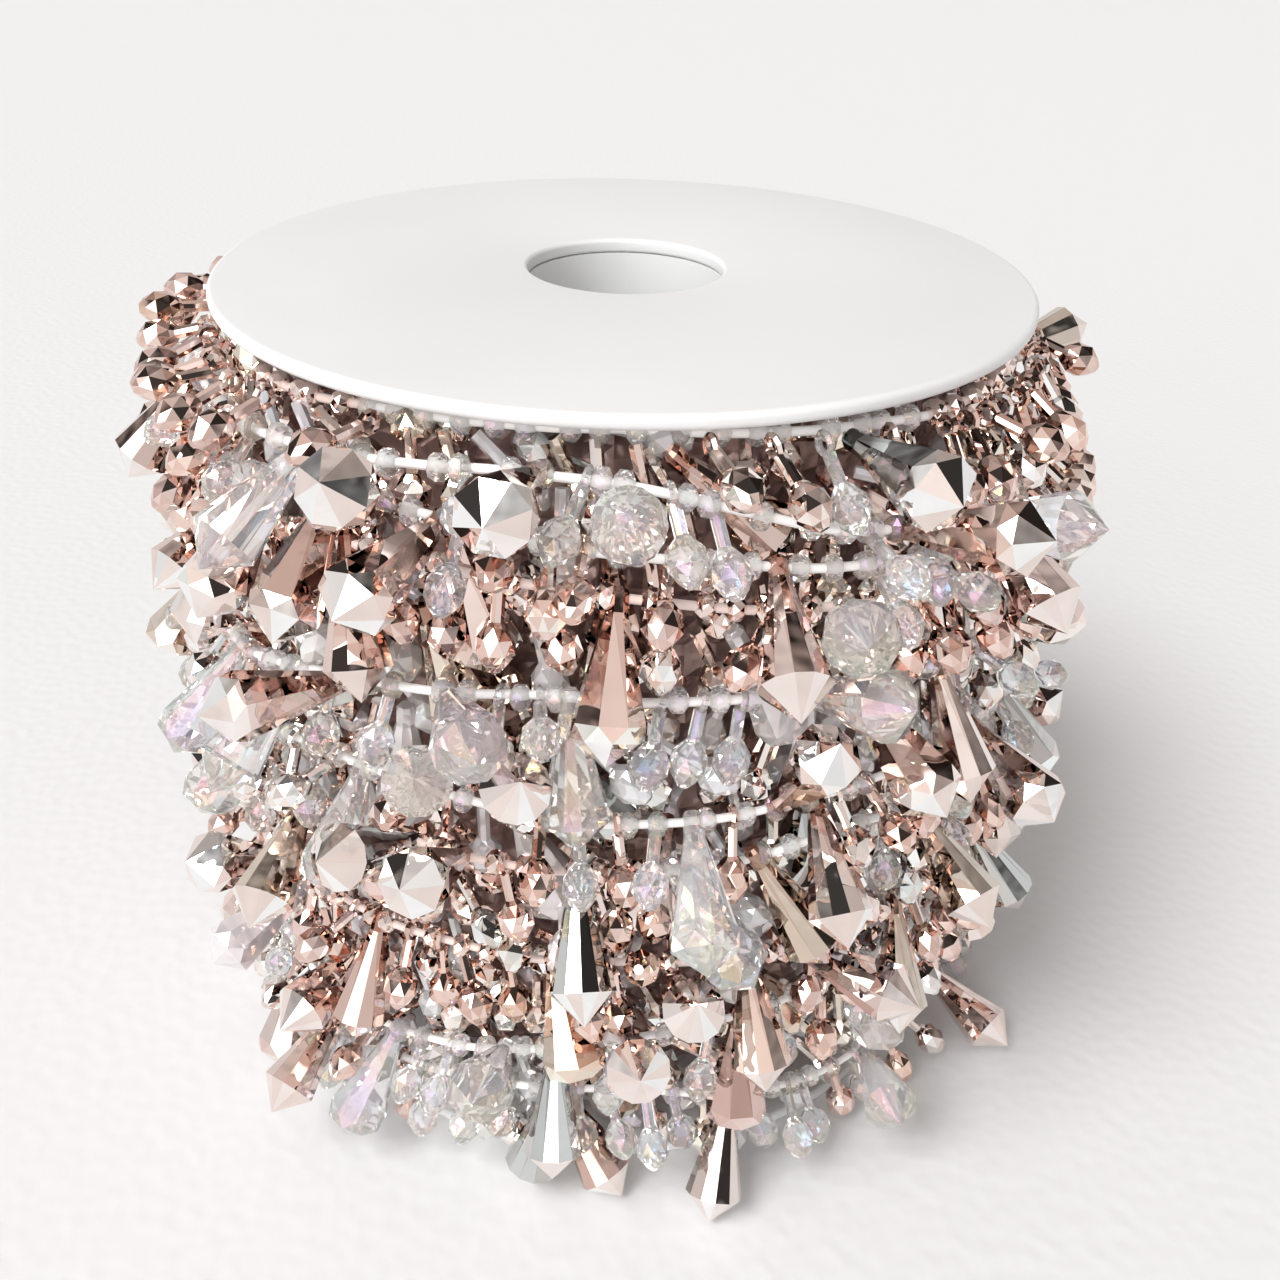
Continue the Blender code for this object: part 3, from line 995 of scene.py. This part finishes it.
def turned_mesh(name, outline, sides, finish):
    """A ring turned about Z from an outline of radius and height, smooth but for its sharp edges."""
    sections = []
    for i in range(sides):
        outward = axes_at(i / sides)[0]
        sections.append([outward * radius + Vector((0, 0, z)) for radius, z in outline])
    mesh = ring_mesh(name, sections, finish)
    mesh.shade_smooth()
    mesh.set_sharp_from_angle(angle=math.radians(40))
    return mesh


def rounded(radius, z, round_radius, quarter, steps=5):
    """Points of a rounded corner: quarter 0 is the outer lower one, and they go on anticlockwise."""
    centre_r = radius - round_radius if quarter in (0, 1) else radius + round_radius
    centre_z = z + round_radius if quarter in (0, 3) else z - round_radius
    points = []
    for i in range(steps + 1):
        angle = math.pi / 2 * (quarter - 1 + i / steps)
        across, up = round_radius * math.cos(angle), round_radius * math.sin(angle)
        points.append((centre_r + across, centre_z + up))
    return points


def make_spool(plastic):
    """Both flanges and the tube between them, with rounded moulded edges."""
    for name, node, base in (
        ("lower_plate", "bottom_flange", 0.0),
        ("upper_plate", "top_flange", SPOOL_HEIGHT - FLANGE_THICKNESS),
    ):
        top = base + FLANGE_THICKNESS
        outline = rounded(FLANGE_RADIUS, base, 0.0006, 0) + rounded(FLANGE_RADIUS, top, 0.0006, 1)
        outline += rounded(BORE_RADIUS, top, 0.0005, 2) + rounded(BORE_RADIUS, base, 0.0003, 3)
        mesh = turned_mesh(name, outline, 256, plastic)
        place_piece(name, mesh, node)
    base, top = FLANGE_THICKNESS + 0.0001, SPOOL_HEIGHT - FLANGE_THICKNESS - 0.0001
    outer = BORE_RADIUS + BARREL_WALL
    outline = [(BORE_RADIUS, base), (outer, base), (outer, top), (BORE_RADIUS, top)]
    mesh = turned_mesh("tube", outline, 128, plastic)
    place_piece("tube", mesh, "barrel")


def make_core(finish, sides=160, levels=80):
    """The winding's deep layers, lumpy, from flange to flange."""
    low, high = BED_OUTLINE[0][0], BED_OUTLINE[-1][0]
    inner = BORE_RADIUS + BARREL_WALL + CLEARANCE
    sections = []
    for i in range(sides):
        outward = axes_at(i / sides)[0]
        section = [outward * inner + Vector((0, 0, low))]
        for level in range(levels + 1):
            height = low + (high - low) * level / levels
            radius = smooth_value(BED_OUTLINE, height) - CORE_DEPTH
            point = outward * radius + Vector((0, 0, height))
            radius += CORE_LUMP * noise.noise(point * CORE_LUMP_RATE) - CORE_DIP
            section.append(outward * radius + Vector((0, 0, height)))
        section.append(outward * inner + Vector((0, 0, high)))
        sections.append(section)
    mesh = ring_mesh("deep_layers", sections, finish)
    place_piece("deep_layers", mesh, "wound_bed")


def make_garland():
    rng = random.Random(SCENE_SEED)
    # Without a seed, noise_vector differs from run to run
    noise.seed_set(SCENE_SEED)
    shapes = {
        "radial": large_shape(12, 0.0032, False),
        "zigzag": large_shape(8, 0.0033, True),
        "bulb": round_shape(16),
        "small": small_shape(8, True),
        "plain_small": small_shape(7, False),
    }
    layers = ("outer", "inner", "line", "roundels")
    heaps = {(layer, kind): Heap() for layer in layers for kind in ("rose", "clear")}
    space = Space([], [])
    for turn in np.arange(FIRST_TURN, LAST_TURN, SPACE_STEP):
        space.add(strand_point(turn), STRAND_WIDTH / 2)
    dress_outer_drops(heaps, rng, shapes, space)
    dress_line(heaps, rng, roundel_shape())
    for share, lift, clear_share in INNER_LAYERS:
        dress_inner_layer(heaps, rng, shapes, space, share, lift, clear_share)
    dress_filler(heaps, rng, shapes, space)
    plated, clear, line = plated_material(), clear_material(), line_material()
    milky = inner_clear_material()
    for layer, node, slot in (
        ("outer", "outer_strand", "rose_gold_plating"),
        ("inner", "wound_bed", "wound_beads"),
        ("roundels", "outer_strand", "rose_gold_plating"),
    ):
        heaps[layer, "rose"].piece(layer + "_plated", plated, node, slot)
        finish = milky if layer == "inner" else clear
        heaps[layer, "clear"].piece(layer + "_clear", finish, node, slot)
    for kind in ("rose", "clear"):
        heaps["line", kind].piece("line_" + kind, line, "outer_strand", "rose_gold_plating", True)
    total = sum(len(face) for heap in heaps.values() for face in heap.faces)
    print("garland triangles", total)


def make_floor():
    """A wide pale cloth just under the spool, with a fine grain."""
    made, tree, shader = shader_of("pale_cloth")
    shader.inputs["Base Color"].default_value = FLOOR_COLOUR
    shader.inputs["Roughness"].default_value = 0.85
    add_bump(tree, shader, noise_node(tree, 500, 0).outputs["Fac"], 0.25, 0.0004)
    bm = bmesh.new()
    bmesh.ops.create_grid(bm, x_segments=1, y_segments=1, size=6)
    floor = bpy.data.objects.new("floor", mesh_of(bm, "floor", made))
    floor.location.z = -FLOOR_DROP
    bpy.context.scene.collection.objects.link(floor)


def add_window(name, place, power, spread):
    """Soft light from a far place, as wide as its spread in degrees."""
    data = bpy.data.lights.new(name, "SUN")
    data.energy = power
    data.angle = math.radians(spread)
    light = bpy.data.objects.new(name, data)
    light.location = place
    light.rotation_euler = (-Vector(place)).to_track_quat("-Z", "Y").to_euler()
    bpy.context.scene.collection.objects.link(light)


def make_world():
    """The room, which the beads mirror."""
    world = bpy.data.worlds.new("studio")
    bpy.context.scene.world = world
    world.use_nodes = True
    tree = world.node_tree
    backdrop = tree.nodes["Background"]
    where = tree.nodes.new("ShaderNodeTexCoord").outputs["Generated"]

    towards = tree.nodes.new("ShaderNodeVectorMath")
    towards.operation = "DOT_PRODUCT"
    towards.inputs[1].default_value = BACK_SIDE
    tree.links.new(where, towards.inputs[0])
    behind = ranged(tree, towards.outputs["Value"], 0, 1, -1, 1)
    ground = two_tone(tree, behind, FRONT_COLOUR, BACK_COLOUR)

    patches = tree.nodes.new("ShaderNodeTexNoise")
    patches.inputs["Scale"].default_value = PATCH_SCALE
    patches.inputs["Detail"].default_value = 0
    tree.links.new(where, patches.inputs["Vector"])
    patched = ranged(tree, patches.outputs["Fac"], *PATCH_STRENGTHS, *PATCH_EDGE)

    split = tree.nodes.new("ShaderNodeSeparateXYZ")
    tree.links.new(where, split.inputs["Vector"])
    raised = ranged(tree, split.outputs["Z"], 0, 1, *HORIZON_RISE)

    colour, strength = tree.nodes.new("ShaderNodeMix"), tree.nodes.new("ShaderNodeMix")
    colour.data_type = "RGBA"
    colour.inputs["A"].default_value = HORIZON_COLOUR
    strength.inputs["A"].default_value = 1
    tree.links.new(ground, colour.inputs["B"])
    tree.links.new(patched, strength.inputs["B"])
    for mixed, socket in ((colour, "Color"), (strength, "Strength")):
        tree.links.new(raised, mixed.inputs["Factor"])
        tree.links.new(mixed.outputs["Result"], backdrop.inputs[socket])
    bpy.context.scene.view_settings.view_transform = "Standard"


def make_camera():
    data = bpy.data.cameras.new("camera")
    data.sensor_width = 36
    data.lens = 36 * CAMERA_FOCUS / 1280
    data.clip_start = 0.01
    camera = bpy.data.objects.new("camera", data)
    pitch = Matrix.Rotation(math.radians(90 - CAMERA_DOWN), 4, "X")
    roll = Matrix.Rotation(math.radians(CAMERA_ROLL), 4, "Z")
    camera.matrix_world = Matrix.Translation(CAMERA_PLACE) @ pitch @ roll
    bpy.context.scene.collection.objects.link(camera)
    bpy.context.scene.camera = camera


def main():
    make_camera()
    make_floor()
    make_world()
    for name, place, power, spread in LIGHTS:
        add_window(name, place, power, spread)
    make_spool(plastic_material())
    make_core(core_material())
    make_garland()


main()
